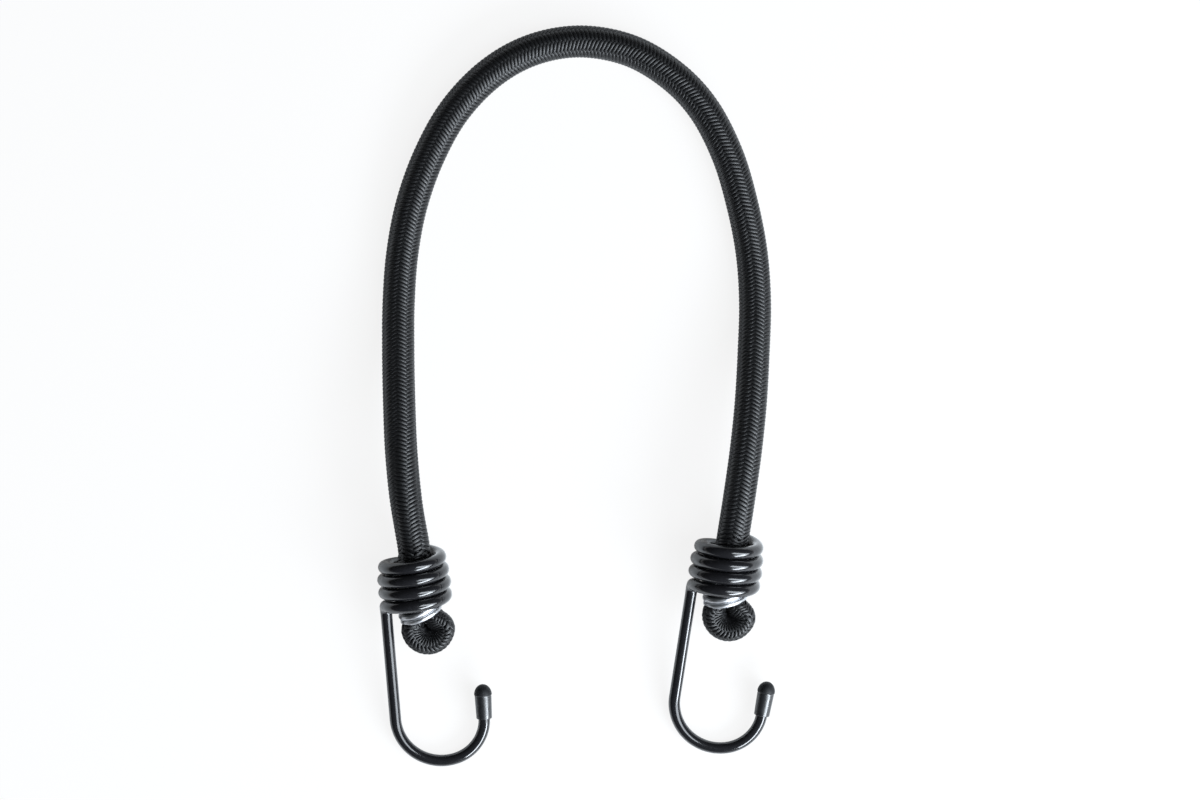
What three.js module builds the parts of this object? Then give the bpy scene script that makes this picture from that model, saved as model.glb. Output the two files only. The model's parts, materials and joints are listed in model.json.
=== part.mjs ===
// Bungee cord: one elastic cord with a coiled wire hook on each end, lying in an arch on a flat surface.
// Millimetres, +Z up. The surface is z = 0 and the origin lies midway between the two hooks.
// The cord's end is doubled back on itself inside each coil, and a wire clip binds the two legs.
import * as THREE from 'three';
import { mergeVertices } from 'three/addons/utils/BufferGeometryUtils.js';

// Cord: a braided sheath round a bundle of rubber strands
const CORD_DIAMETER = 9;
const SHEATH_WALL = 1.2;
const STRANDS_IN_RING = 6;
const STRAND_GAP = 0.3;
const CORD_FLAT = 0.9;
const CORE_LIFT = 0.2;
const FACE_GAP = 0.3;

// Doubled end: half sizes of the squeezed cord, as shares of the cord's radius
const LEG_WIDTH_SHARE = 0.722;
const LEG_DEPTH_SHARE = 1.02;
const PINCH_WIDTH_SHARE = 0.46;
const PINCH_DEPTH_SHARE = 0.72;
const LOOP_WIDTH_SHARE = 0.8;
const LOOP_DEPTH_SHARE = 0.8;
const LEG_GAP = 0.45;
const LOOP_EYE = 0.9;
const LOOP_OFFSET = 3.3;
const LOOP_DROP = 0.3;
const LOOP_START = THREE.MathUtils.degToRad(2);
const LOOP_END = THREE.MathUtils.degToRad(-178);
const LEG_FOOT = 3.2;
const TAIL_IN_COIL = 4.6;
const CORD_IN_COIL = 13.6;
const MOUTH_OFFSET = 0.6;

// Wire hook: close coil, straight shank, J bend and tip
const WIRE_DIAMETER = 3.15;
const COIL_TURNS = 3.7;
const COIL_PITCH = 3.78;
const COIL_CLEARANCE = 0.35;
const MOUTH_TAPER = 0.9;
const MOUTH_TAPER_TURNS = 1.7;
const SHOULDER_RADIUS = 3.8;
const SHANK_LENGTH = 33.5;
const BEND_RADIUS = 13.1;
const BEND_TIP_RADIUS = 11.8;
const BEND_TIGHTENS_AT = THREE.MathUtils.degToRad(105);
const BEND_ANGLE = THREE.MathUtils.degToRad(178.5);

// Vinyl tip cap
const CAP_LENGTH = 9.9;
const CAP_WALL = 0.38;
const CAP_SLEEVE_FLARE = 0.2;
const CAP_LIP = 0.12;
const CAP_HEAD_LENGTH = 3;
const CAP_CROWN = 1.4;
const CAP_CLEARANCE = 0.25;

// Wire clip: two turns round the doubled cord, just below the coil
const CLIP_WIRE_DIAMETER = 1.5;
const CLIP_TURNS = 2;
const CLIP_PITCH = 2;
const CLIP_CLEARANCE = 0.3;
const CLIP_TILT = THREE.MathUtils.degToRad(13);
const CLIP_OFFSET = 0.8;
const CLIP_DROP = 2.6;

// Where each coil starts on the surface, and how far the hook is turned from straight down
const LEFT_HOOK = { name: 'left', x: -45.4, y: 13.3, turn: THREE.MathUtils.degToRad(4.3) };
const RIGHT_HOOK = { name: 'right', x: 41.5, y: 17.6, turn: THREE.MathUtils.degToRad(-8.6) };

// Route of the free cord from the left coil to the right one: x, y and the lift of its centre off its bed
const MOUTH_RUN = 17;
const ROUTE = [
  [-48.1, 42.5, 9.5],
  [-49.5, 56.5, 8.5],
  [-50.2, 70.5, 6.2],
  [-50.6, 84.5, 3.3],
  [-50.6, 98.5, 0.9],
  [-49.6, 112.5, 0],
  [-46.9, 126.5, 0],
  [-41.9, 140.4, 0],
  [-34.6, 153.3, 0],
  [-24.3, 163.9, 0],
  [-12.3, 170.5, 0],
  [1.3, 172.8, 0],
  [15.3, 170.2, 0],
  [27.3, 163.1, 0],
  [36.3, 153.5, 0],
  [43, 140.5, 0],
  [47.2, 126.5, 0],
  [49.9, 112.5, 0],
  [50.8, 98.5, 1.2],
  [50.3, 84.5, 3.8],
  [49.4, 70.5, 6.7],
  [47.9, 56.5, 8.8],
  [45.9, 42.5, 9.5],
];

// Facets
const CORD_SIDES = 12;
const STRAND_SIDES = 5;
const WIRE_SIDES = 8;
const CLIP_SIDES = 6;
const CAP_SIDES = 12;
const ROUTE_STEPS = 40;
const FOLD_STEPS = 28;
const STEPS_PER_TURN = 16;
const SHOULDER_STEPS = 5;
const BEND_STEPS = 15;
const LOOP_KNOTS = 6;

// Sizes that follow
const CORD_RADIUS = CORD_DIAMETER / 2;
const BORE_RADIUS = CORD_RADIUS - SHEATH_WALL;
const STRAND_RADIUS = (BORE_RADIUS - 2 * STRAND_GAP) / 3;
const STRAND_RING_RADIUS = 2 * STRAND_RADIUS + STRAND_GAP;
const CORD_BED = CORD_RADIUS - CORD_FLAT;
const LEG_WIDTH = CORD_RADIUS * LEG_WIDTH_SHARE;
const LEG_DEPTH = CORD_RADIUS * LEG_DEPTH_SHARE;
const PINCH_WIDTH = CORD_RADIUS * PINCH_WIDTH_SHARE;
const PINCH_DEPTH = CORD_RADIUS * PINCH_DEPTH_SHARE;
const LOOP_WIDTH = CORD_RADIUS * LOOP_WIDTH_SHARE;
const LOOP_DEPTH = CORD_RADIUS * LOOP_DEPTH_SHARE;
const LOOP_RADIUS = LOOP_WIDTH + LOOP_EYE / 2;
const LEG_SPREAD = LEG_WIDTH + LEG_GAP / 2;
const PINCH_SPREAD = PINCH_WIDTH + LEG_GAP / 2;
const WIRE_RADIUS = WIRE_DIAMETER / 2;
const COIL_BORE = LEG_SPREAD + LEG_WIDTH + COIL_CLEARANCE;
const COIL_RADIUS = COIL_BORE + WIRE_RADIUS;
const CLIP_WIRE_RADIUS = CLIP_WIRE_DIAMETER / 2;
const CLIP_BORE = PINCH_SPREAD + PINCH_WIDTH + CLIP_CLEARANCE;
const CLIP_RADIUS = CLIP_BORE + CLIP_WIRE_RADIUS;
const CAP_BORE = WIRE_RADIUS + CAP_CLEARANCE;
const TIP_LENGTH = CAP_LENGTH - CAP_CROWN - CAP_CLEARANCE;
const HOOK_REACH = SHANK_LENGTH + BEND_RADIUS;
// The hook lies on the underside of its first turn and on the bottom of its bend
const HOOK_PITCH = Math.atan2(COIL_RADIUS, HOOK_REACH + 0.75 * COIL_PITCH);

// Colours and finishes
const BRAID = { color: 0x1c1d20, roughness: 0.85, metalness: 0 };
const RUBBER = { color: 0xb9a883, roughness: 0.7, metalness: 0 };
const COATED_WIRE = { color: 0x0b0b0d, roughness: 0.22, metalness: 0.1 };
const VINYL = { color: 0x17181b, roughness: 0.5, metalness: 0 };
const ZINC = { color: 0xc9cbce, roughness: 0.25, metalness: 1 };

function named(name, geometry, finish) {
  const mesh = new THREE.Mesh(geometry, new THREE.MeshStandardMaterial(finish));
  mesh.name = name;
  return mesh;
}

// Corners of a regular polygon: the first points straight down, or half a side on where a flat faces down
function polygon(sides, radius = 1, x = 0, y = 0, flatDown = false) {
  const points = [];
  const first = flatDown ? 0.5 : 0;
  for (let k = 0; k < sides; k += 1) {
    const angle = (2 * Math.PI * (k + first)) / sides - Math.PI / 2;
    points.push(new THREE.Vector2(x + radius * Math.cos(angle), y + radius * Math.sin(angle)));
  }
  return points;
}

// Middle of each rubber strand in a round cord: one in the centre and a ring about it
function strandCentres() {
  const ring = polygon(STRANDS_IN_RING, STRAND_RING_RADIUS);
  return [new THREE.Vector2(0, 0), ...ring];
}

// A closed tube through stations, each a point with two section vectors; a bore makes it hollow
function sweep(stations, outline, bore) {
  const sides = outline.length;
  const loops = bore ? [outline, bore] : [outline];
  const positions = [];
  for (const loop of loops) {
    for (const station of stations) {
      for (const corner of loop) {
        const point = station.at.clone();
        point.addScaledVector(station.across, corner.x).addScaledVector(station.up, corner.y);
        positions.push(point.x, point.y, point.z);
      }
    }
  }
  const corner = (loop, i, k) => (loop * stations.length + i) * sides + (k % sides);
  const faces = [];
  const quad = (a, b, c, d) => faces.push(a, b, c, a, c, d);
  const last = stations.length - 1;
  for (let k = 0; k < sides; k += 1) {
    for (let i = 0; i < last; i += 1) {
      quad(corner(0, i, k), corner(0, i, k + 1), corner(0, i + 1, k + 1), corner(0, i + 1, k));
      if (bore) {
        quad(corner(1, i, k + 1), corner(1, i, k), corner(1, i + 1, k), corner(1, i + 1, k + 1));
      }
    }
    if (bore) {
      quad(corner(0, 0, k + 1), corner(0, 0, k), corner(1, 0, k), corner(1, 0, k + 1));
      quad(corner(0, last, k), corner(0, last, k + 1), corner(1, last, k + 1), corner(1, last, k));
    } else if (k > 0 && k < sides - 1) {
      faces.push(corner(0, 0, 0), corner(0, 0, k + 1), corner(0, 0, k));
      faces.push(corner(0, last, 0), corner(0, last, k), corner(0, last, k + 1));
    }
  }
  const geometry = new THREE.BufferGeometry();
  geometry.setAttribute('position', new THREE.Float32BufferAttribute(positions, 3));
  geometry.setIndex(faces);
  geometry.computeVertexNormals();
  return geometry;
}

// Stations of a round wire along its centre line, with the section carried along without twist
function wireStations(points, radius) {
  const stations = [];
  let across = null;
  points.forEach((at, i) => {
    const before = points[Math.max(i - 1, 0)];
    const after = points[Math.min(i + 1, points.length - 1)];
    const along = after.clone().sub(before).normalize();
    if (!across) {
      const side = Math.abs(along.z) < 0.9 ? new THREE.Vector3(0, 0, 1) : new THREE.Vector3(1, 0, 0);
      across = side.cross(along);
    }
    across = across.clone().addScaledVector(along, -across.dot(along)).normalize();
    const up = along.clone().cross(across);
    stations.push({ at, across: across.clone().multiplyScalar(radius), up: up.multiplyScalar(radius) });
  });
  return stations;
}

// Least distance between two stretches of a tube's surface that lie more than a few stations apart
function leastSelfGap(stations, outline, stationsApart) {
  const rings = stations.map((station) => outline.map((corner) => {
    const point = station.at.clone();
    return point.addScaledVector(station.across, corner.x).addScaledVector(station.up, corner.y);
  }));
  let least = Infinity;
  for (let i = 0; i < rings.length; i += 1) {
    for (let j = i + stationsApart; j < rings.length; j += 1) {
      for (const a of rings[i]) {
        for (const b of rings[j]) {
          least = Math.min(least, a.distanceTo(b));
        }
      }
    }
  }
  return least;
}

// Centre line of the hook from the tip to the coil's free end.
// Local frame: x to the open side of the hook, y along the coil's axis to the cord, z up from the hook's plane.
function hookLine() {
  const points = [];
  const bendCentre = new THREE.Vector2(BEND_RADIUS - COIL_RADIUS, -SHANK_LENGTH);
  const radial = (angle) => new THREE.Vector2(-Math.cos(angle), -Math.sin(angle));
  const tighten = radial(BEND_TIGHTENS_AT).multiplyScalar(BEND_RADIUS - BEND_TIP_RADIUS);
  const tipCentre = bendCentre.clone().add(tighten);
  const bendEnd = tipCentre.clone().addScaledVector(radial(BEND_ANGLE), BEND_TIP_RADIUS);
  const tipHeading = new THREE.Vector2(Math.sin(BEND_ANGLE), -Math.cos(BEND_ANGLE));
  const tip = bendEnd.clone().addScaledVector(tipHeading, TIP_LENGTH);
  points.push(new THREE.Vector3(tip.x, tip.y, 0));
  for (let i = BEND_STEPS; i >= 0; i -= 1) {
    const angle = (BEND_ANGLE * i) / BEND_STEPS;
    const tight = angle > BEND_TIGHTENS_AT;
    const centre = tight ? tipCentre : bendCentre;
    const radius = tight ? BEND_TIP_RADIUS : BEND_RADIUS;
    const point = centre.clone().addScaledVector(radial(angle), radius);
    points.push(new THREE.Vector3(point.x, point.y, 0));
  }
  // The shank turns into the coil by an arc laid on the coil's own cylinder
  const slope = Math.atan2(COIL_PITCH, 2 * Math.PI * COIL_RADIUS);
  const onCoil = (angle, y, radius) => new THREE.Vector3(
    -radius * Math.cos(angle), y, radius * Math.sin(angle));
  const joinAngle = (SHOULDER_RADIUS * (1 - Math.sin(slope))) / COIL_RADIUS;
  const shoulderFoot = joinAngle * COIL_RADIUS * Math.tan(slope) - SHOULDER_RADIUS * Math.cos(slope);
  for (let i = 0; i < SHOULDER_STEPS; i += 1) {
    const turned = ((Math.PI / 2 - slope) * i) / SHOULDER_STEPS;
    const angle = (SHOULDER_RADIUS * (1 - Math.cos(turned))) / COIL_RADIUS;
    points.push(onCoil(angle, shoulderFoot + SHOULDER_RADIUS * Math.sin(turned), COIL_RADIUS));
  }
  const coilEnd = 2 * Math.PI * COIL_TURNS;
  const taperStart = coilEnd - 2 * Math.PI * MOUTH_TAPER_TURNS;
  const coilSteps = Math.round(((coilEnd - joinAngle) / (2 * Math.PI)) * STEPS_PER_TURN);
  for (let i = 0; i <= coilSteps; i += 1) {
    const angle = joinAngle + ((coilEnd - joinAngle) * i) / coilSteps;
    const taper = Math.max(0, (angle - taperStart) / (coilEnd - taperStart));
    points.push(onCoil(angle, (COIL_PITCH * angle) / (2 * Math.PI), COIL_RADIUS - MOUTH_TAPER * taper));
  }
  return { points, bendEnd, tipHeading };
}

function hookWire(name, line) {
  const stations = wireStations(line.points, WIRE_RADIUS);
  const outline = polygon(WIRE_SIDES, 1, 0, 0, true);
  const gap = leastSelfGap(stations, outline, Math.round(0.75 * STEPS_PER_TURN));
  console.log(`${name}: least gap to itself ${gap.toFixed(2)} mm`);
  return named(name, sweep(stations, outline), COATED_WIRE);
}

// Cap with a blind bore: a sleeve that widens to a lip, and a domed head over it
function tipCap(name, line) {
  const rim = CAP_BORE + CAP_WALL;
  const neck = rim + CAP_SLEEVE_FLARE;
  const head = neck + CAP_LIP;
  const sleeveLength = CAP_LENGTH - CAP_HEAD_LENGTH;
  const profile = new THREE.Path();
  profile.moveTo(0, CAP_LENGTH - CAP_CROWN);
  profile.lineTo(CAP_BORE, CAP_LENGTH - CAP_CROWN);
  profile.lineTo(CAP_BORE, 0);
  profile.lineTo(rim, 0);
  profile.lineTo(neck, sleeveLength);
  profile.lineTo(head, sleeveLength);
  profile.absellipse(0, sleeveLength, head, CAP_HEAD_LENGTH, 0, Math.PI / 2, false);
  const geometry = new THREE.LatheGeometry(profile.getPoints(3), CAP_SIDES);
  const cap = named(name, weld(geometry), VINYL);
  cap.position.set(line.bendEnd.x, line.bendEnd.y, 0);
  cap.rotation.z = -Math.atan2(line.tipHeading.x, line.tipHeading.y);
  return cap;
}

// Route of the doubled cord in the hook's plane: down one side of the coil, round the loop and back up the other
function foldStations() {
  const at = [];
  const size = [];
  const knot = (x, y, width, depth) => {
    at.push(new THREE.Vector3(x, y, 0));
    size.push(new THREE.Vector3(width, depth, 0));
  };
  const loopY = -(LOOP_RADIUS + LOOP_WIDTH + LOOP_DROP);
  const bandHalf = (CLIP_PITCH + CLIP_WIRE_DIAMETER) / 2;
  const bandRise = CLIP_PITCH / 4;
  const legTop = TAIL_IN_COIL + 2 * FACE_GAP;
  const easeStep = (CORD_IN_COIL - legTop) / 3;
  const middle = new THREE.Vector2(0, 0);
  const pinch = (x, y) => {
    const point = new THREE.Vector2(x, y).rotateAround(middle, CLIP_TILT);
    knot(CLIP_OFFSET + point.x, point.y - CLIP_DROP, PINCH_WIDTH, PINCH_DEPTH);
  };
  knot(MOUTH_OFFSET, CORD_IN_COIL, CORD_RADIUS, CORD_RADIUS);
  knot(MOUTH_OFFSET, CORD_IN_COIL - easeStep, CORD_RADIUS, CORD_RADIUS);
  knot((MOUTH_OFFSET + LEG_SPREAD) / 2, legTop + easeStep, (CORD_RADIUS + LEG_WIDTH) / 2, CORD_RADIUS);
  knot(LEG_SPREAD, legTop, LEG_WIDTH, LEG_DEPTH);
  knot(LEG_SPREAD, LEG_FOOT, LEG_WIDTH, LEG_DEPTH);
  pinch(PINCH_SPREAD, bandRise + bandHalf);
  pinch(PINCH_SPREAD, bandRise - bandHalf);
  for (let i = 0; i <= LOOP_KNOTS; i += 1) {
    const angle = LOOP_START + ((LOOP_END - LOOP_START) * i) / LOOP_KNOTS;
    const x = LOOP_OFFSET + LOOP_RADIUS * Math.cos(angle);
    const y = loopY + LOOP_RADIUS * Math.sin(angle);
    knot(x, y, LOOP_WIDTH, LOOP_DEPTH);
  }
  pinch(-PINCH_SPREAD, -bandRise - bandHalf);
  pinch(-PINCH_SPREAD, bandHalf - bandRise);
  knot(-LEG_SPREAD, LEG_FOOT, LEG_WIDTH, LEG_DEPTH);
  knot(-LEG_SPREAD, TAIL_IN_COIL, LEG_WIDTH, LEG_DEPTH);
  const route = new THREE.CatmullRomCurve3(at, false, 'catmullrom', 0.5);
  const sizes = new THREE.CatmullRomCurve3(size, false, 'catmullrom', 0.5);
  const stations = [];
  for (let i = 0; i <= FOLD_STEPS; i += 1) {
    const t = route.getUtoTmapping(i / FOLD_STEPS);
    const along = route.getTangent(t);
    const half = sizes.getPoint(t);
    stations.push({
      at: route.getPoint(t),
      across: new THREE.Vector3(-along.y, along.x, 0).multiplyScalar(half.x),
      up: new THREE.Vector3(0, 0, half.y),
    });
  }
  return stations;
}

function doubledEnd(prefix) {
  const stations = foldStations();
  const outline = polygon(CORD_SIDES);
  const gap = leastSelfGap(stations, outline, Math.round(FOLD_STEPS / 3));
  console.log(`${prefix}_end_sheath: least gap to itself ${gap.toFixed(2)} mm`);
  const bore = polygon(CORD_SIDES, BORE_RADIUS / CORD_RADIUS);
  const pieces = [named(`${prefix}_end_sheath`, sweep(stations, outline, bore), BRAID)];
  strandCentres().forEach((centre, i) => {
    const x = centre.x / CORD_RADIUS;
    const y = centre.y / CORD_RADIUS;
    const section = polygon(STRAND_SIDES, STRAND_RADIUS / CORD_RADIUS, x, y);
    pieces.push(named(`${prefix}_end_strand_${i + 1}`, sweep(stations, section), RUBBER));
  });
  return pieces;
}

function wireClip(name) {
  const points = [];
  const steps = Math.round(CLIP_TURNS * STEPS_PER_TURN);
  for (let i = 0; i <= steps; i += 1) {
    const turn = (CLIP_TURNS * i) / steps;
    const angle = -2 * Math.PI * turn - Math.PI / 2;
    const height = CLIP_PITCH * (turn - CLIP_TURNS / 2);
    points.push(new THREE.Vector3(CLIP_RADIUS * Math.cos(angle), height, CLIP_RADIUS * Math.sin(angle)));
  }
  const stations = wireStations(points, CLIP_WIRE_RADIUS);
  const outline = polygon(CLIP_SIDES);
  const gap = leastSelfGap(stations, outline, Math.round(0.75 * STEPS_PER_TURN));
  console.log(`${name}: least gap to itself ${gap.toFixed(2)} mm`);
  const clip = named(name, sweep(stations, outline), ZINC);
  clip.position.set(CLIP_OFFSET, -CLIP_DROP, 0);
  clip.rotation.z = CLIP_TILT;
  return clip;
}

// One end of the bungee: the hook pitched so that its coil and its bend both touch the surface
function hookEnd(place) {
  const line = hookLine();
  const tilted = new THREE.Group();
  tilted.rotation.x = HOOK_PITCH;
  const wire = hookWire(`${place.name}_hook`, line);
  tilted.add(wire);
  const end = new THREE.Group();
  end.rotation.z = place.turn;
  end.add(tilted);
  const lowest = new THREE.Box3().setFromObject(end, true).min.z;
  end.position.set(place.x, place.y, -lowest);
  tilted.add(tipCap(`${place.name}_tip_cap`, line));
  tilted.add(...doubledEnd(place.name));
  tilted.add(wireClip(`${place.name}_clip`));
  end.updateMatrixWorld(true);
  const mouthPoint = (y) => tilted.localToWorld(new THREE.Vector3(MOUTH_OFFSET, y, 0));
  return { group: end, face: mouthPoint(CORD_IN_COIL + FACE_GAP), mouth: mouthPoint(MOUTH_RUN) };
}

function weld(geometry) {
  geometry.deleteAttribute('normal');
  geometry.deleteAttribute('uv');
  const welded = mergeVertices(geometry, 1e-4);
  welded.computeVertexNormals();
  return welded;
}

// The free cord between the coils, flattened where it lies on the surface
function freeCord(left, right) {
  const bed = ROUTE.map(([x, y, lift]) => new THREE.Vector3(x, y, CORD_BED + lift));
  const points = [left.face, left.mouth, ...bed, right.mouth, right.face];
  const route = new THREE.CatmullRomCurve3(points, false, 'catmullrom', 0.5);
  const along = { steps: ROUTE_STEPS, bevelEnabled: false, extrudePath: route };
  console.log(`free cord: ${route.getLength().toFixed(1)} mm between the coils' faces`);
  const ring = new THREE.Shape(polygon(CORD_SIDES, CORD_RADIUS));
  ring.holes.push(new THREE.Path(polygon(CORD_SIDES, BORE_RADIUS, 0, CORE_LIFT)));
  const sheath = new THREE.ExtrudeGeometry(ring, along);
  const corners = sheath.getAttribute('position');
  for (let i = 0; i < corners.count; i += 1) {
    corners.setZ(i, Math.max(0, corners.getZ(i)));
  }
  const pieces = [named('cord_sheath', weld(sheath), BRAID)];
  strandCentres().forEach((centre, i) => {
    const section = polygon(STRAND_SIDES, STRAND_RADIUS, centre.x, centre.y + CORE_LIFT);
    const strand = new THREE.ExtrudeGeometry(new THREE.Shape(section), along);
    pieces.push(named(`cord_strand_${i + 1}`, weld(strand), RUBBER));
  });
  return pieces;
}

const leftEnd = hookEnd(LEFT_HOOK);
const rightEnd = hookEnd(RIGHT_HOOK);
const bungee = new THREE.Group();
bungee.add(...freeCord(leftEnd, rightEnd));
bungee.add(leftEnd.group, rightEnd.group);

export default bungee;
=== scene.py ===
"""Looks of the bungee cord: a braided elastic cord with a coiled wire hook on each doubled end."""

import json
import math

import bpy
import numpy as np
from bpy.props import FloatProperty, FloatVectorProperty, IntProperty, PointerProperty
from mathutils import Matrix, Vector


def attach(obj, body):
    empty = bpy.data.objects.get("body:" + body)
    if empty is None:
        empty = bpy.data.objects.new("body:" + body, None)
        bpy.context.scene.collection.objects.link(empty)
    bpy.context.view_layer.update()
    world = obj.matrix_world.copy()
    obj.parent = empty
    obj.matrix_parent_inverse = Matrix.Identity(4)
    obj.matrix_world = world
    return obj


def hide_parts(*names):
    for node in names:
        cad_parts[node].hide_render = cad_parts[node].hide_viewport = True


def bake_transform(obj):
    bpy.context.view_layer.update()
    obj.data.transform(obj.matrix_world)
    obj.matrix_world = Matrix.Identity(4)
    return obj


bl_info = {
    "name": "Bungee Cord",
    "version": (1, 0, 0),
    "blender": (4, 5, 0),
    "location": "View3D > Sidebar > Bungee",
    "description": "Dresses the bungee cord's solids: braid, wire hooks, tip caps and wire clips",
    "category": "Object",
}

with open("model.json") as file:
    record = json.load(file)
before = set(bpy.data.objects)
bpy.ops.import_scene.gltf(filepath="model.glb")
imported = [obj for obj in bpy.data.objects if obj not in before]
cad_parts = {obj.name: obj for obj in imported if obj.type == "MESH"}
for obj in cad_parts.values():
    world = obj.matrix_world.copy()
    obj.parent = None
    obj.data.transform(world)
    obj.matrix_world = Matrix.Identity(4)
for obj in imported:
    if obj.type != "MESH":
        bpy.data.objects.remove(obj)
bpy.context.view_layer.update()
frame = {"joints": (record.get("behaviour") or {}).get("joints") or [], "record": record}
FINISH_COLORS = {row["slot"]: row["base_color"] for row in frame["record"]["materials"]}
JOINTS = {joint["name"]: joint for joint in frame["joints"]}
SIDES = ("left", "right")
MILLIMETRE = 0.001

# Route of the free cord from the left coil to the right one: x, y and the lift of its centre off its bed
ROUTE = (
    (-0.0481, 0.0425, 0.0095),
    (-0.0495, 0.0565, 0.0085),
    (-0.0502, 0.0705, 0.0062),
    (-0.0506, 0.0845, 0.0033),
    (-0.0506, 0.0985, 0.0009),
    (-0.0496, 0.1125, 0.0),
    (-0.0469, 0.1265, 0.0),
    (-0.0419, 0.1404, 0.0),
    (-0.0346, 0.1533, 0.0),
    (-0.0243, 0.1639, 0.0),
    (-0.0123, 0.1705, 0.0),
    (0.0013, 0.1728, 0.0),
    (0.0153, 0.1702, 0.0),
    (0.0273, 0.1631, 0.0),
    (0.0363, 0.1535, 0.0),
    (0.0430, 0.1405, 0.0),
    (0.0472, 0.1265, 0.0),
    (0.0499, 0.1125, 0.0),
    (0.0508, 0.0985, 0.0012),
    (0.0503, 0.0845, 0.0038),
    (0.0494, 0.0705, 0.0067),
    (0.0479, 0.0565, 0.0088),
    (0.0459, 0.0425, 0.0095),
)

# Free cord: its way into each coil, and the flat that its weight presses where it lies
MOUTH_RUN = 0.017
MOUTH_OFFSET = 0.0006
CORD_IN_COIL = 0.0136
FACE_GAP = 0.0003
CORD_FLAT = 0.0009
PRESSED_BELOW = 0.0022
SPAN_STEPS = 40
PATH_POINTS = 160

# Places on the free cord: so far below its top, and so far from its face in the coil
STRETCH_FROM_TOP = 0.012
STRETCH_ENDS_AT = 0.010

# How far the sheath has turned about its own line, at distances along the free cord
SHEATH_TURN_AT = (0.0, 0.008, 0.025, 0.038, 0.085, 0.170, 0.190, 0.217, 0.248, 0.270, 0.341)
SHEATH_TURN = np.radians((4, 11, 30, 44, 49, 56, 44, 31, 21, 18, 22))

# Yarns of the braid, the lining under them and the rubber strands inside
SAMPLES_PER_WAVE = 8
WAVE_SQUARENESS = 1.7
WAVE_START = math.pi / 4
YARN_CROSSING = 0.00014
YARN_SPREAD = (0.35, 2.2)
YARN_WIDTH_VARIES = 0.03
YARN_SEED = 7
BRAID_PROUD = 0.00015
YARN_SECTION = np.array(((-1, -0.2), (-0.66, 0.68), (0, 1), (0.66, 0.68), (1, -0.2), (0, -0.9)))
LINING_SIDES = 24
LINING_RINGS_PER_DIAMETER = 6
STRAND_SIDES = 10
STRAND_RINGS_PER_DIAMETER = 5
STRANDS_IN_RING = 6
CORD_FINISHES = ("Braided yarn", "Sheath lining", "Natural rubber")

# Doubled end: half sizes of the squeezed cord, as shares of the cord's radius, and its places in the coil
LEG_SHARE = (0.733, 1.02)
PINCH_SHARE = (0.503, 0.78)
LOOP_SHARE = (0.79, 0.9)
LEG_GAP = 0.00005
LOOP_EYE = 0.0004
LOOP_LEAN = 0.3
LOOP_CROWD = 1.4
LOOP_OFFSET = 0.0028
LOOP_TOP = 0.0
LOOP_START = math.radians(2)
LOOP_END = math.radians(-178)
LOOP_KNOTS = 6
SWELL = 1.12
LEG_FOOT = 0.0032
TAIL_IN_COIL = 0.0046

# Hook: its coats over the solid's wire, and the parts of its line between coil, shank and bend
COIL_COAT = 0.00019
SHANK_COAT = 0.00008
MOUTH_TAPER = 0.0009
MOUTH_TAPER_TURNS = 1.7
SHOULDER_RADIUS = 0.0026
BEND_TIGHTENS_AT = math.radians(105)
BEND_ANGLE = math.radians(178.5)
COIL_STEPS_PER_TURN = 64
BEND_STEPS = 90
SHOULDER_STEPS = 20
STRAIGHT_STEPS = 30
WIRE_SIDES = 28
WIRE_END_EDGE = 0.35
END_ROUND_STEPS = 6
UPRIGHT = 0.9

# Tip cap: a sleeve on the wire's straight tip, a small lip and a domed head
CAP_LENGTH = 0.0099
CAP_WALL = 0.00038
CAP_SLEEVE_FLARE = 0.0002
CAP_FLARE_STATIONS = (0.25, 0.5, 0.75, 0.94)
CAP_LIP = 0.00012
CAP_LIP_ROUND = 0.00003
CAP_LIP_HOLLOW = ((-0.00004, -0.00012), (0.00002, -0.00003))
CAP_HEAD_LENGTH = 0.003
CAP_CROWN = 0.0014
CAP_CLEARANCE = 0.00025
CAP_RIM_ROUND = 0.45
CAP_MIDDLE = 1e-6
CAP_SIDES = 64
RIM_STEPS = 5
DOME_START = 0.04
DOME_STEPS = 18
TIP_LENGTH = CAP_LENGTH - CAP_CROWN - CAP_CLEARANCE

# Wire clip: its place on the doubled end, and the oval that its wire is wound to
CLIP_TILT = math.radians(16)
CLIP_OFFSET = 0.00095
CLIP_DROP = 0.0024
CLIP_CLEARANCE = 0.00022
CLIP_PITCH_IN_SOLID = 0.002
CLIP_CLOSENESS = 0.98
CLIP_OVAL = 0.86
CLIP_LEAN = math.radians(10)
CLIP_PLATING = 0.00008
CLIP_SIDES = 18

# The part of a noise texture's values that a finish's roughness follows
NOISE_LOW = 0.3
NOISE_HIGH = 0.7

# Stage: floor, camera, two softboxes, and the dome of light that glossy surfaces mirror
FLOOR_SIZE = 4.0
FLOOR_DROP = 0.00025
FLOOR_GLOW = 0.87
FLOOR_GLOW_MIRRORED = 0.15
VIEW_MIDDLE = (0.0067, 0.0707)
SENSOR_WIDTH = 0.036
LIGHT_DISTANCE = 1.1
LIGHT_COLOR = (0.86, 0.93, 1.0)
KEY_FROM = (0.54, -0.70, 0.46)
KEY_SIZE = (0.8, 0.32)
SIDE_FROM = (0.63, -0.27, 0.73)
SIDE_SIZE = (0.5, 1.2)
DOME_DARK = 0.02
DOME_PALE_BELOW = -0.02
DOME_DARK_ABOVE = 0.14


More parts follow.
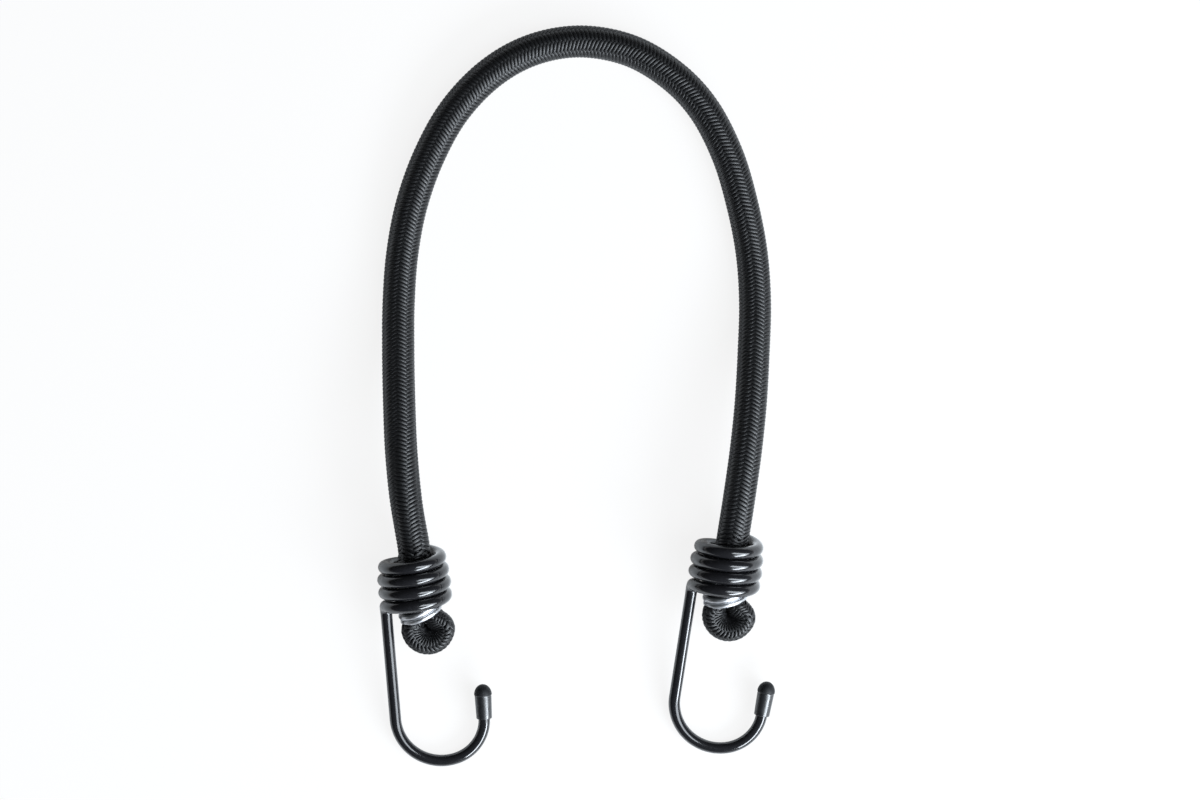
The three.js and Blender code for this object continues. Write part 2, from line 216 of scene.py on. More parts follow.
class BungeeCordSettings(bpy.types.PropertyGroup):
    """Sizes and colours of the braided cord."""

    diameter: FloatProperty(
        name="Cord diameter", description="Outside of the braid", default=0.009, unit="LENGTH")
    sheath_wall: FloatProperty(
        name="Sheath wall", description="Thickness of the braid and its lining", default=0.0012,
        unit="LENGTH")
    strand_gap: FloatProperty(
        name="Strand gap", description="Gap between two rubber strands", default=0.0003, unit="LENGTH")
    yarns_each_way: IntProperty(
        name="Yarns each way", description="Yarns that wind each way round the cord", default=8, min=4)
    lead: FloatProperty(
        name="Braid lead", description="Length of cord for one turn of a yarn", default=0.0089,
        unit="LENGTH")
    yarn_width: FloatProperty(
        name="Yarn width", description="Width of one flattened yarn", default=0.00112, unit="LENGTH")
    yarn_thickness: FloatProperty(
        name="Yarn thickness", description="Thickness of one flattened yarn", default=0.00036,
        unit="LENGTH")
    sheath_color: FloatVectorProperty(
        name="Sheath colour", description="Colour of the yarn", subtype="COLOR", size=3,
        default=FINISH_COLORS["braided_sheath"])
    rubber_color: FloatVectorProperty(
        name="Rubber colour", description="Colour of the rubber strands", subtype="COLOR", size=3,
        default=FINISH_COLORS["rubber_strand"])


class BungeeHookSettings(bpy.types.PropertyGroup):
    """Sizes and colours of the hooks, caps and clips."""

    wire_diameter: FloatProperty(
        name="Wire diameter", description="Coated wire of the hook", default=0.00315, unit="LENGTH")
    coil_diameter: FloatProperty(
        name="Coil diameter", description="Diameter of the coil at the wire's middle", default=0.017296,
        unit="LENGTH")
    coil_turns: FloatProperty(
        name="Coil turns", description="Turns of wire round the doubled cord", default=3.7)
    coil_pitch: FloatProperty(
        name="Coil pitch", description="Distance from turn to turn", default=0.00366, unit="LENGTH")
    shank_length: FloatProperty(
        name="Shank length", description="From the coil's start to the bend", default=0.0335,
        unit="LENGTH")
    bend_radius: FloatProperty(
        name="Bend radius", description="Radius of the J at its middle line", default=0.0131,
        unit="LENGTH")
    bend_tip_radius: FloatProperty(
        name="Bend radius at the tip", description="Tighter radius near the tip", default=0.0118,
        unit="LENGTH")
    clip_wire: FloatProperty(
        name="Clip wire", description="Diameter of the clip's wire", default=0.0015, unit="LENGTH")
    clip_turns: FloatProperty(
        name="Clip turns", description="Turns of the clip's wire", default=2)
    coat_color: FloatVectorProperty(
        name="Coating colour", description="Gloss coating of the hook", subtype="COLOR", size=3,
        default=FINISH_COLORS["coated_wire"])
    cap_color: FloatVectorProperty(
        name="Cap colour", description="Vinyl of the tip cap", subtype="COLOR", size=3,
        default=FINISH_COLORS["vinyl_cap"])
    clip_color: FloatVectorProperty(
        name="Clip colour", description="Zinc plating of the clip", subtype="COLOR", size=3,
        default=FINISH_COLORS["zinc_wire"])


class BungeeStageSettings(bpy.types.PropertyGroup):
    """Floor, light and camera."""

    camera_height: FloatProperty(
        name="Camera height", description="Camera's height over the floor", default=1.1, unit="LENGTH")
    view_width: FloatProperty(
        name="View width", description="Width of floor that the camera sees", default=0.3429,
        unit="LENGTH")
    floor_color: FloatVectorProperty(
        name="Floor colour", description="Pale floor", subtype="COLOR", size=3, default=(0.8, 0.8, 0.8))
    key_power: FloatProperty(
        name="Key light", description="Low softbox at the front right", default=18, unit="POWER")
    side_power: FloatProperty(
        name="Side light", description="High softbox on the right", default=15, unit="POWER")
    ambient: FloatProperty(
        name="Ambient", description="Even light from all round", default=0.08)


def unit(vectors):
    """The same vectors, each of length one."""
    return vectors / np.linalg.norm(vectors, axis=-1, keepdims=True)


def smooth_curve(knots, steps):
    """Points of the smooth curve through the knots, with so many steps to each span."""
    knots = np.asarray(knots, float)
    padded = np.vstack([2 * knots[0] - knots[1], knots, 2 * knots[-1] - knots[-2]])
    t = np.linspace(0, 1, steps, endpoint=False)[:, None]
    spans = []
    for a, b, c, d in zip(padded, padded[1:], padded[2:], padded[3:]):
        square = 2 * a - 5 * b + 4 * c - d
        cube = 3 * b - a - 3 * c + d
        spans.append(b + 0.5 * t * ((c - a) + t * (square + t * cube)))
    spans.append(knots[-1:])
    return np.vstack(spans)


class CordLine:
    """A cord's middle line with its section's directions and half sizes, looked up by distance along it."""

    def __init__(self, centre, across, up, half, crowd=1.0):
        steps = np.linalg.norm(np.diff(centre, axis=0), axis=1)
        self.along = np.concatenate([[0], np.cumsum(steps)])
        self.length = self.along[-1]
        self.table = np.hstack([centre, across, up, half])
        self.crowd = np.broadcast_to(crowd, len(centre))
        self.braid = np.concatenate([[0], np.cumsum(steps * self.crowd[1:])])

    def braid_at(self, distance):
        """Length of braid used up to these distances, and how crowded it is there."""
        return np.interp(distance, self.along, self.braid), np.interp(distance, self.along, self.crowd)

    def at(self, distance):
        """Middle, across, up, half width and half depth at these distances."""
        row = np.stack([np.interp(distance, self.along, column) for column in self.table.T], -1)
        return row[:, :3], unit(row[:, 3:6]), row[:, 6:9], row[:, 9:10], row[:, 10:11]


def hook_place(side):
    """Origin and axes of a hook: x to its open side, y along the coil to the cord, z up from its plane."""
    joint = JOINTS[f"{side}_hook_swivel"]
    y = unit(np.array(joint["axis"], float))
    x = unit(np.array((y[1], -y[0], 0)))
    return np.array(joint["pos_m"], float), np.stack([x, y, np.cross(x, y)])


def placed(side, points):
    """Points of a hook's own frame, in the shared frame."""
    origin, axes = hook_place(side)
    return origin + np.asarray(points, float) @ axes


def free_cord_line(cord):
    """The free cord's line from the left coil to the right one, run on into each coil's face."""
    radius = cord.diameter / 2
    into_coil = [(MOUTH_OFFSET, y, 0) for y in (CORD_IN_COIL, CORD_IN_COIL + FACE_GAP, MOUTH_RUN)]
    left, right = (placed(side, into_coil) for side in SIDES)
    bed = [(x, y, radius - CORD_FLAT + lift) for x, y, lift in ROUTE]
    knots = np.vstack([left[1:], bed, right[:0:-1]])
    centre = np.vstack([left[:1], smooth_curve(knots, SPAN_STEPS), right[:1]])
    along = unit(np.gradient(centre, axis=0))
    across = unit(np.cross((0, 0, 1), along))
    return CordLine(centre, across, np.cross(along, across), np.full((len(centre), 2), radius))


def in_clip(x, y):
    """A point of the clip's own tilted plane, in the hook's plane."""
    cos, sin = math.cos(CLIP_TILT), math.sin(CLIP_TILT)
    return CLIP_OFFSET + x * cos - y * sin, x * sin + y * cos - CLIP_DROP


def swelled(pinched, loop):
    """A knot midway from the clip to the loop, where the cord has already swelled out again."""
    middle = (np.array(pinched) + np.array(loop)) / 2
    return (*middle[:2], *(SWELL * middle[2:]))


def doubled_end_line(side, cord, hook):
    """The doubled cord's line: into the coil, down one side, round the loop and back up the other side.

    A knot is x and y in the hook's plane, then the section's half width, half depth, lean and crowding.
    """
    radius = cord.diameter / 2
    leg, pinch = ((radius * share[0], radius * share[1], 0, 1) for share in (LEG_SHARE, PINCH_SHARE))
    loop = (radius * LOOP_SHARE[0], radius * LOOP_SHARE[1], LOOP_LEAN, LOOP_CROWD)
    full = (radius, radius, 0, 1)
    leg_spread = leg[0] + LEG_GAP / 2
    pinch_spread = pinch[0] + LEG_GAP / 2
    loop_radius = loop[0] + LOOP_EYE / 2
    loop_middle = LOOP_TOP - loop_radius - loop[0]
    band_half = (CLIP_PITCH_IN_SOLID + hook.clip_wire) / 2
    band_rise = CLIP_PITCH_IN_SOLID / 4
    leg_top = TAIL_IN_COIL + 2 * FACE_GAP
    ease = (CORD_IN_COIL - leg_top) / 3
    knots = [
        (MOUTH_OFFSET, CORD_IN_COIL, *full),
        (MOUTH_OFFSET, CORD_IN_COIL - ease, *full),
        ((MOUTH_OFFSET + leg_spread) / 2, leg_top + ease, (radius + leg[0]) / 2, radius, 0, 1),
        (leg_spread, leg_top, *leg),
        (leg_spread, LEG_FOOT, *leg),
        (*in_clip(pinch_spread, band_rise + band_half), *pinch),
        (*in_clip(pinch_spread, band_rise - band_half), *pinch),
    ]
    ring = []
    for angle in np.linspace(LOOP_START, LOOP_END, LOOP_KNOTS + 1):
        x = LOOP_OFFSET + loop_radius * math.cos(angle)
        ring.append((x, loop_middle + loop_radius * math.sin(angle), *loop))
    back = (*in_clip(-pinch_spread, -band_rise - band_half), *pinch)
    knots += [
        swelled(knots[-1], ring[0]),
        *ring,
        swelled(back, ring[-1]),
        back,
        (*in_clip(-pinch_spread, band_half - band_rise), *pinch),
        (-leg_spread, LEG_FOOT, *leg),
        (-leg_spread, TAIL_IN_COIL, *leg),
    ]
    curve = smooth_curve(knots, SPAN_STEPS)
    flat = np.column_stack([curve[:, :2], np.zeros(len(curve))])
    along = unit(np.gradient(flat, axis=0))
    across = np.column_stack([-along[:, 1], along[:, 0], np.zeros(len(curve))])
    axes = hook_place(side)[1]
    up = np.array((0, 0, 1)) + across * curve[:, 4:5]
    return CordLine(placed(side, flat), across @ axes, up @ axes, curve[:, 2:4], curve[:, 5])


class MeshParts:
    """Vertices, faces and surface coordinates gathered from several tubes into one mesh."""

    def __init__(self):
        self.vertices = []
        self.faces = []
        self.uv = []
        self.material = []
        self.count = 0

    def add_tube(self, rings, v=None, u_start=0.0, material=0):
        """A closed tube through rings of points, with flat ends; material may vary from ring to ring."""
        stations, sides = rings.shape[:2]
        i, k = np.meshgrid(np.arange(stations - 1), np.arange(sides), indexing="ij")
        near, far = i * sides, (i + 1) * sides
        nxt = (k + 1) % sides
        quads = np.stack([near + k, near + nxt, far + nxt, far + k], -1).reshape(-1, 4)
        pairs = np.arange(sides // 2 - 1)
        end = np.stack([pairs, pairs + 1, sides - 2 - pairs, sides - 1 - pairs], -1) + stations * sides
        faces = np.vstack([quads, end[:, ::-1], end + sides])
        v = np.linspace(0, 1, stations) if v is None else v
        u = u_start + np.stack([k, k + 1, k + 1, k], -1) / sides
        across = np.stack([v[i], v[i], v[i + 1], v[i + 1]], -1)
        side_uv = np.stack([u, across], -1).reshape(-1, 4, 2)
        end_uv = np.full((2 * len(end), 4, 2), u_start)
        material = np.broadcast_to(material, stations - 1)
        self.vertices += [rings.reshape(-1, 3), rings[0], rings[-1]]
        self.faces.append(faces + self.count)
        self.uv.append(np.vstack([side_uv, end_uv]))
        self.material += [np.repeat(material, sides), np.repeat(material[[0, -1]], len(end))]
        self.count += (stations + 2) * sides

    def make(self, name, *materials):
        """One smooth object of all the tubes."""
        mesh = bpy.data.meshes.new(name)
        faces = np.vstack(self.faces)
        mesh.from_pydata(np.vstack(self.vertices).tolist(), [], faces.tolist())
        layer = mesh.uv_layers.new(name="Surface")
        layer.data.foreach_set("uv", np.vstack(self.uv).astype(np.float32).ravel())
        mesh.polygons.foreach_set("material_index", np.concatenate(self.material).astype(np.int32))
        mesh.polygons.foreach_set("use_smooth", np.ones(len(faces), bool))
        for material in materials:
            mesh.materials.append(material)
        mesh.update()
        piece = bpy.data.objects.new(name, mesh)
        bpy.context.scene.collection.objects.link(piece)
        return piece


def pressed(points):
    """Points with the cord's underside pressed flat where it lies on the floor."""
    z = points[..., 2]
    share = PRESSED_BELOW / (PRESSED_BELOW + CORD_FLAT)
    points[..., 2] = np.where(z < PRESSED_BELOW, (z + CORD_FLAT) * share, z)
    return points


def section_rings(centre, across, up, x, y):
    """Rings of points at x across and y up from the middle line, one ring for each point of the line."""
    return centre[:, None] + across[:, None] * x[..., None] + up[:, None] * y[..., None]


def add_braid(parts, line, first, last, cord, start=0.0, heading=1):
    """All the yarns of the braid on a stretch of line.

    Start and heading place the stretch on the free cord's own length. Heading is -1 where the stretch leads
    backwards from the cord's start, and the angles are then mirrored, so that the braid runs on unbroken.
    """
    each_way = cord.yarns_each_way
    waves = each_way / 2
    used = np.diff(line.braid_at((first, last))[0])[0]
    count = round(used / cord.lead * waves * SAMPLES_PER_WAVE) + 1
    distance = np.linspace(first, last, count)
    braid, crowd = line.braid_at(distance)
    centre, across, up, half_width, half_depth = line.at(distance)
    along_line = unit(np.gradient(centre, axis=0))
    bend = (np.gradient(across, distance, axis=0) * along_line).sum(1)
    on_cord = start + heading * braid
    turned = np.interp(on_cord, SHEATH_TURN_AT, SHEATH_TURN)
    half_thick = cord.yarn_thickness / 2
    draw = np.random.default_rng(YARN_SEED)
    for hand in (1, -1):
        for number in range(each_way):
            base = 2 * math.pi * (hand * on_cord / cord.lead + number / each_way)
            swing = WAVE_SQUARENESS * np.cos(waves * base - WAVE_START)
            over = hand * np.tanh(swing) / math.tanh(WAVE_SQUARENESS)
            angle = base + turned
            if heading < 0:
                angle = math.pi - angle
            inset = (half_thick - BRAID_PROUD + YARN_CROSSING * (1 - over))[:, None]
            cos, sin = np.cos(angle)[:, None], np.sin(angle)[:, None]
            x = (half_width - inset) * cos
            y = (half_depth - inset) * sin
            middle = centre + across * x + up * y
            out = unit(np.cross(up * cos * half_depth - across * sin * half_width, along_line))
            along = unit(np.gradient(middle, axis=0))
            beside = unit(np.cross(along, out))
            out = np.cross(beside, along)
            spread = np.clip((1 + x[:, 0] * bend) / crowd, *YARN_SPREAD)[:, None, None]
            half_wide = cord.yarn_width / 2 * draw.normal(1, YARN_WIDTH_VARIES)
            ring = (middle[:, None] + beside[:, None] * YARN_SECTION[:, :1] * (half_wide * spread)
                    + out[:, None] * YARN_SECTION[:, 1:] * half_thick * np.minimum(spread, 1))
            length = np.concatenate([[0], np.cumsum(np.linalg.norm(np.diff(middle, axis=0), axis=1))])
            parts.add_tube(pressed(ring), length / cord.yarn_width, u_start=number + each_way * (hand > 0))


def add_lining(parts, line, first, last, cord):
    """The dark tube under the yarns."""
    count = round((last - first) / cord.diameter * LINING_RINGS_PER_DIAMETER) + 2
    centre, across, up, half_width, half_depth = line.at(np.linspace(first, last, count))
    angle = np.linspace(0, 2 * math.pi, LINING_SIDES, endpoint=False)
    inset = cord.yarn_thickness + 2 * YARN_CROSSING
    x = (half_width - inset) * np.cos(angle)
    y = (half_depth - inset) * np.sin(angle)
    parts.add_tube(pressed(section_rings(centre, across, up, x, y)), material=1)


def add_strands(parts, line, first, last, cord):
    """The rubber strands inside the sheath: one in the middle and a ring about it."""
    radius = cord.diameter / 2
    strand = (radius - cord.sheath_wall - 2 * cord.strand_gap) / 3
    ring_radius = 2 * strand + cord.strand_gap
    count = round((last - first) / cord.diameter * STRAND_RINGS_PER_DIAMETER) + 2
    distance = np.linspace(first, last, count)
    centre, across, up, half_width, half_depth = line.at(distance)
    turn = np.linspace(0, 2 * math.pi, STRANDS_IN_RING, endpoint=False)
    middles = [(0, 0)] + [(ring_radius * math.cos(a), ring_radius * math.sin(a)) for a in turn]
    angle = np.linspace(0, 2 * math.pi, STRAND_SIDES, endpoint=False)
    for number, (x0, y0) in enumerate(middles):
        x = (x0 + strand * np.cos(angle)) * half_width / radius
        y = (y0 + strand * np.sin(angle)) * half_depth / radius
        parts.add_tube(section_rings(centre, across, up, x, y), distance / strand, u_start=number)


def make_cord(name, line, first, last, cord, finishes, start=0.0, heading=1):
    """A stretch of cord as two pieces: the braid on its lining, and the rubber inside."""
    yarn, lining, rubber = finishes
    sheath, strands = MeshParts(), MeshParts()
    add_braid(sheath, line, first, last, cord, start, heading)
    add_lining(sheath, line, first, last, cord)
    add_strands(strands, line, first, last, cord)
    return sheath.make(f"{name}_braid", yarn, lining), strands.make(f"{name}_rubber", rubber)


def wire_rings(points, radius, sides):
    """Rings of a round wire along its middle line, carried along without twist; radius may vary."""
    along = unit(np.gradient(points, axis=0))
    side = np.array((0, 0, 1.0)) if abs(along[0, 2]) < UPRIGHT else np.array((1.0, 0, 0))
    across = np.cross(side, along[0])
    angle = np.linspace(0, 2 * math.pi, sides, endpoint=False)
    radius = np.broadcast_to(radius, len(points))
    rings = []
    for point, direction, size in zip(points, along, radius):
        across = across - direction * across.dot(direction)
        across = across / np.linalg.norm(across)
        up = np.cross(direction, across)
        rings.append(point + size * (np.outer(np.cos(angle), across) + np.outer(np.sin(angle), up)))
    return np.array(rings)


def rounded_ends(points, radius):
    """A wire's line and radii with both ends drawn in to a small round."""
    turn = np.linspace(0, math.pi / 2, END_ROUND_STEPS)
    edge = WIRE_END_EDGE * radius
    first, last = unit(points[0] - points[1]), unit(points[-1] - points[-2])
    reach = np.sin(turn)[:, None] * edge
    size = radius - edge * (1 - np.cos(turn))
    line = np.vstack([points[0] + first * reach[::-1], points[1:-1], points[-1] + last * reach])
    return line, np.concatenate([size[::-1], np.full(len(points) - 2, radius), size])


def spoke(angle):
    """Direction from the bend's middle to its wire, so far round from the shank."""
    return np.array((-math.cos(angle), -math.sin(angle), 0))


def on_coil(angle, y, radius):
    """A point so far round the coil and so far along it."""
    return np.array((-radius * math.cos(angle), y, radius * math.sin(angle)))


def hook_line(hook):
    """The hook's middle line from its tip to the coil's free end, with where the bend ends and heads."""
    coil = hook.coil_diameter / 2
    bend_middle = np.array((hook.bend_radius - coil, -hook.shank_length, 0))
    tip_middle = bend_middle + spoke(BEND_TIGHTENS_AT) * (hook.bend_radius - hook.bend_tip_radius)
    bend_end = tip_middle + spoke(BEND_ANGLE) * hook.bend_tip_radius
    heading = np.array((math.sin(BEND_ANGLE), -math.cos(BEND_ANGLE), 0))
    points = [bend_end + heading * TIP_LENGTH * (1 - i / STRAIGHT_STEPS) for i in range(STRAIGHT_STEPS)]
    for angle in np.linspace(BEND_ANGLE, 0, BEND_STEPS + 1):
        tight = angle > BEND_TIGHTENS_AT
        middle, radius = (tip_middle, hook.bend_tip_radius) if tight else (bend_middle, hook.bend_radius)
        points.append(middle + spoke(angle) * radius)
    slope = math.atan2(hook.coil_pitch, 2 * math.pi * coil)
    join = SHOULDER_RADIUS * (1 - math.sin(slope)) / coil
    foot = join * coil * math.tan(slope) - SHOULDER_RADIUS * math.cos(slope)
    shank_foot = points[-1]
    shoulder = np.array((-coil, foot, 0))
    points += [shank_foot + (shoulder - shank_foot) * i / STRAIGHT_STEPS for i in range(1, STRAIGHT_STEPS)]
    for i in range(SHOULDER_STEPS):
        turned = (math.pi / 2 - slope) * i / SHOULDER_STEPS
        angle = SHOULDER_RADIUS * (1 - math.cos(turned)) / coil
        points.append(on_coil(angle, foot + SHOULDER_RADIUS * math.sin(turned), coil))
    coil_end = 2 * math.pi * hook.coil_turns
    taper_start = coil_end - 2 * math.pi * MOUTH_TAPER_TURNS
    for angle in np.linspace(join, coil_end, round(hook.coil_turns * COIL_STEPS_PER_TURN)):
        taper = max(0, (angle - taper_start) / (coil_end - taper_start))
        points.append(on_coil(angle, hook.coil_pitch * angle / (2 * math.pi), coil - MOUTH_TAPER * taper))
    return np.array(points), bend_end, heading


def clip_line(cord, hook):
    """The clip's middle line: a close oval winding round the two pinched legs, in the hook's frame."""
    pinch = cord.diameter / 2 * PINCH_SHARE[0]
    radius = 2 * pinch + LEG_GAP / 2 + CLIP_CLEARANCE + hook.clip_wire / 2
    pitch = CLIP_CLOSENESS * (hook.clip_wire + 2 * CLIP_PLATING)
    turn = np.linspace(0, hook.clip_turns, round(hook.clip_turns * COIL_STEPS_PER_TURN))
    angle = -2 * math.pi * turn - math.pi / 2
    x = radius * np.cos(angle)
    y = pitch * (turn - hook.clip_turns / 2)
    z = CLIP_OVAL * radius * np.sin(angle)
    cos, sin = math.cos(CLIP_LEAN), math.sin(CLIP_LEAN)
    middle = np.array([in_clip(*point) for point in zip(x, y * cos - z * sin)])
    return np.column_stack([middle, z * cos + y * sin])


def cap_profile(hook):
    """The cap's outline as radius and height: up the bore's wall, round the rim, sleeve, lip and dome."""
    bore = hook.wire_diameter / 2 + CAP_CLEARANCE
    rim = bore + CAP_WALL
    neck = rim + CAP_SLEEVE_FLARE
    head = neck + CAP_LIP
    sleeve = CAP_LENGTH - CAP_HEAD_LENGTH
    edge = CAP_RIM_ROUND * CAP_WALL
    profile = [(CAP_MIDDLE, CAP_LENGTH - CAP_CROWN), (bore, CAP_LENGTH - CAP_CROWN), (bore, edge)]
    for turn in np.linspace(math.pi, 1.5 * math.pi, RIM_STEPS)[1:]:
        profile.append((bore + edge + edge * math.cos(turn), edge + edge * math.sin(turn)))
    for turn in np.linspace(1.5 * math.pi, 2 * math.pi, RIM_STEPS):
        profile.append((rim - edge + edge * math.cos(turn), edge + edge * math.sin(turn)))
    profile += [(rim + CAP_SLEEVE_FLARE * share, sleeve * share) for share in CAP_FLARE_STATIONS]
    profile += [(neck + out, sleeve + up) for out, up in CAP_LIP_HOLLOW]
    profile.append((head - CAP_LIP_ROUND, sleeve))
    for turn in np.linspace(DOME_START, math.pi / 2, DOME_STEPS)[:-1]:
        profile.append((head * math.cos(turn), sleeve + CAP_HEAD_LENGTH * math.sin(turn)))
    profile.append((CAP_MIDDLE, CAP_LENGTH))
    return profile


def make_on_hook(name, side, rings, *materials, material=0):
    """A piece of one tube, from rings in a hook's own frame."""
    parts = MeshParts()
    parts.add_tube(placed(side, rings), material=material)
    return parts.make(name, *materials)


class Finish:
    """A material in the making, with its nodes, links and shader at hand."""

    def __init__(self, name):
        self.material = bpy.data.materials.new(name)
        self.material.use_nodes = True
        self.nodes = self.material.node_tree.nodes
        self.links = self.material.node_tree.links
        self.shader = self.nodes["Principled BSDF"]

    def set(self, socket, value):
        """One value all over the surface."""
        self.shader.inputs[socket].default_value = value

    def surface_noise(self, scale, detail):
        """Noise laid along a piece's own surface coordinates."""
        uv = self.nodes.new("ShaderNodeUVMap")
        uv.uv_map = "Surface"
        mapping = self.nodes.new("ShaderNodeMapping")
        mapping.inputs["Scale"].default_value = (*scale, 1)
        noise = self.nodes.new("ShaderNodeTexNoise")
        noise.inputs["Scale"].default_value = 1
        noise.inputs["Detail"].default_value = detail
        self.links.new(uv.outputs["UV"], mapping.inputs["Vector"])
        self.links.new(mapping.outputs["Vector"], noise.inputs["Vector"])
        return noise.outputs["Fac"]

    def solid_noise(self, size, detail):
        """Noise of a given grain size in the piece's own space."""
        place = self.nodes.new("ShaderNodeTexCoord")
        noise = self.nodes.new("ShaderNodeTexNoise")
        noise.inputs["Scale"].default_value = 1 / size
        noise.inputs["Detail"].default_value = detail
        self.links.new(place.outputs["Object"], noise.inputs["Vector"])
        return noise.outputs["Fac"]

    def tint(self, noise, color, dark, light):
        """The colour, darker and lighter with a noise."""
        mix = self.nodes.new("ShaderNodeMix")
        mix.data_type = "RGBA"
        mix.inputs["A"].default_value = (*(channel * dark for channel in color), 1)
        mix.inputs["B"].default_value = (*(channel * light for channel in color), 1)
        self.links.new(noise, mix.inputs["Factor"])
        self.links.new(mix.outputs["Result"], self.shader.inputs["Base Color"])

    def roughen(self, noise, low, high):
        """Roughness that varies with a noise."""
        node = self.nodes.new("ShaderNodeMapRange")
        node.inputs["From Min"].default_value = NOISE_LOW
        node.inputs["From Max"].default_value = NOISE_HIGH
        node.inputs["To Min"].default_value = low
        node.inputs["To Max"].default_value = high
        self.links.new(noise, node.inputs["Value"])
        self.links.new(node.outputs["Result"], self.shader.inputs["Roughness"])

    def bump(self, noise, strength, depth):
        """Fine relief from a noise."""
        node = self.nodes.new("ShaderNodeBump")
        node.inputs["Strength"].default_value = strength
        node.inputs["Distance"].default_value = depth
        self.links.new(noise, node.inputs["Height"])
        self.links.new(node.outputs["Normal"], self.shader.inputs["Normal"])


def braided_yarn(cord):
    """Black polyester yarn: fine filaments along each yarn, with a soft shine."""
    finish = Finish("Braided yarn")
    filaments = finish.surface_noise(scale=(34, 0.55), detail=4)
    patches = finish.surface_noise(scale=(2, 0.12), detail=2)
    finish.tint(patches, cord.sheath_color, dark=0.2, light=0.5)
    finish.roughen(filaments, low=0.38, high=0.5)
    finish.set("Specular IOR Level", 0.55)
    finish.bump(filaments, strength=0.45, depth=0.00006)
    return finish.material


def sheath_lining(cord):
    """The shadowed inside of the sheath, seen only between yarns."""
    finish = Finish("Sheath lining")
    weave = finish.solid_noise(size=0.0006, detail=2)
    finish.tint(weave, cord.sheath_color, dark=0.3, light=0.6)
    finish.set("Roughness", 0.9)
    finish.set("Specular IOR Level", 0.2)
    return finish.material


def natural_rubber(cord):
    """Matte natural rubber with a dusty bloom."""
    finish = Finish("Natural rubber")
    bloom = finish.solid_noise(size=0.0016, detail=4)
    grain = finish.solid_noise(size=0.0002, detail=2)
    finish.tint(bloom, cord.rubber_color, dark=0.8, light=1.15)
    finish.roughen(bloom, low=0.55, high=0.75)
    finish.bump(grain, strength=0.3, depth=0.00004)
    return finish.material


def gloss_coating(hook):
    """Gloss black dip coating on wire, a little uneven, with a clear top skin."""
    finish = Finish("Gloss coating")
    sag = finish.solid_noise(size=0.0035, detail=2)
    haze = finish.solid_noise(size=0.0011, detail=4)
    finish.tint(haze, hook.coat_color, dark=2.2, light=3.8)
    finish.roughen(haze, low=0.2, high=0.28)
    finish.set("Specular IOR Level", 0.15)
    finish.set("Coat Weight", 1)
    finish.set("Coat IOR", 1.52)
    finish.set("Coat Roughness", 0.1)
    finish.bump(sag, strength=0.01, depth=0.0002)
    return finish.material


def black_vinyl(name, hook, rough, gloss):
    """Black vinyl with a fine mould grain and a faint bloom; gloss is the strength of its shine."""
    finish = Finish(name)
    bloom = finish.solid_noise(size=0.0018, detail=3)
    grain = finish.solid_noise(size=0.00022, detail=2)
    finish.tint(bloom, hook.cap_color, dark=0.75, light=1.3)
    finish.roughen(bloom, *rough)
    finish.set("Specular IOR Level", gloss)
    finish.bump(grain, strength=0.02, depth=0.00003)
    return finish.material


def bright_zinc(hook):
    """Bright zinc plating on drawn wire: faint lines along the wire and a cloudy sheen."""
    finish = Finish("Bright zinc")
    drawn = finish.surface_noise(scale=(40, 3), detail=3)
    cloud = finish.solid_noise(size=0.0012, detail=3)
    finish.tint(cloud, hook.clip_color, dark=0.82, light=1.12)
    finish.roughen(cloud, low=0.36, high=0.44)
    finish.set("Metallic", 1)
    finish.bump(drawn, strength=0.02, depth=0.00003)
    return finish.material


def ray_kinds(nodes, links):
    """Whether a ray is mirrored, and whether it comes straight from the camera or through glass."""
    path = nodes.new("ShaderNodeLightPath")
    clear = nodes.new("ShaderNodeMath")
    clear.operation = "MAXIMUM"
    links.new(path.outputs["Is Camera Ray"], clear.inputs[0])
    links.new(path.outputs["Is Transmission Ray"], clear.inputs[1])
    return path.outputs["Is Glossy Ray"], clear.outputs["Value"]


def floor_glow(nodes, links):
    """The floor's own white share: most for the camera and through glass, less in mirrors."""
    mirrored, clear = ray_kinds(nodes, links)
    straight = nodes.new("ShaderNodeMath")
    straight.operation = "MULTIPLY"
    straight.inputs[1].default_value = FLOOR_GLOW
    links.new(clear, straight.inputs[0])
    share = nodes.new("ShaderNodeMath")
    share.operation = "MULTIPLY_ADD"
    share.inputs[1].default_value = FLOOR_GLOW_MIRRORED
    links.new(mirrored, share.inputs[0])
    links.new(straight.outputs["Value"], share.inputs[2])
    return share.outputs["Value"]


def make_floor(stage):
    """A pale floor that reads as white and keeps a soft shadow."""
    half = FLOOR_SIZE / 2
    mesh = bpy.data.meshes.new("Floor")
    corners = [(x, y, -FLOOR_DROP) for x, y in ((-half, -half), (half, -half), (half, half), (-half, half))]
    mesh.from_pydata(corners, [], [(0, 1, 2, 3)])
    floor = bpy.data.objects.new("Floor", mesh)
    bpy.context.scene.collection.objects.link(floor)
    finish = Finish("Pale floor")
    finish.set("Base Color", (*stage.floor_color, 1))
    finish.set("Roughness", 1)
    finish.set("Specular IOR Level", 0)
    nodes, links = finish.nodes, finish.links
    glow = nodes.new("ShaderNodeEmission")
    mix = nodes.new("ShaderNodeMixShader")
    links.new(floor_glow(nodes, links), mix.inputs["Fac"])
    links.new(finish.shader.outputs["BSDF"], mix.inputs[1])
    links.new(glow.outputs["Emission"], mix.inputs[2])
    links.new(mix.outputs["Shader"], nodes["Material Output"].inputs["Surface"])
    mesh.materials.append(finish.material)


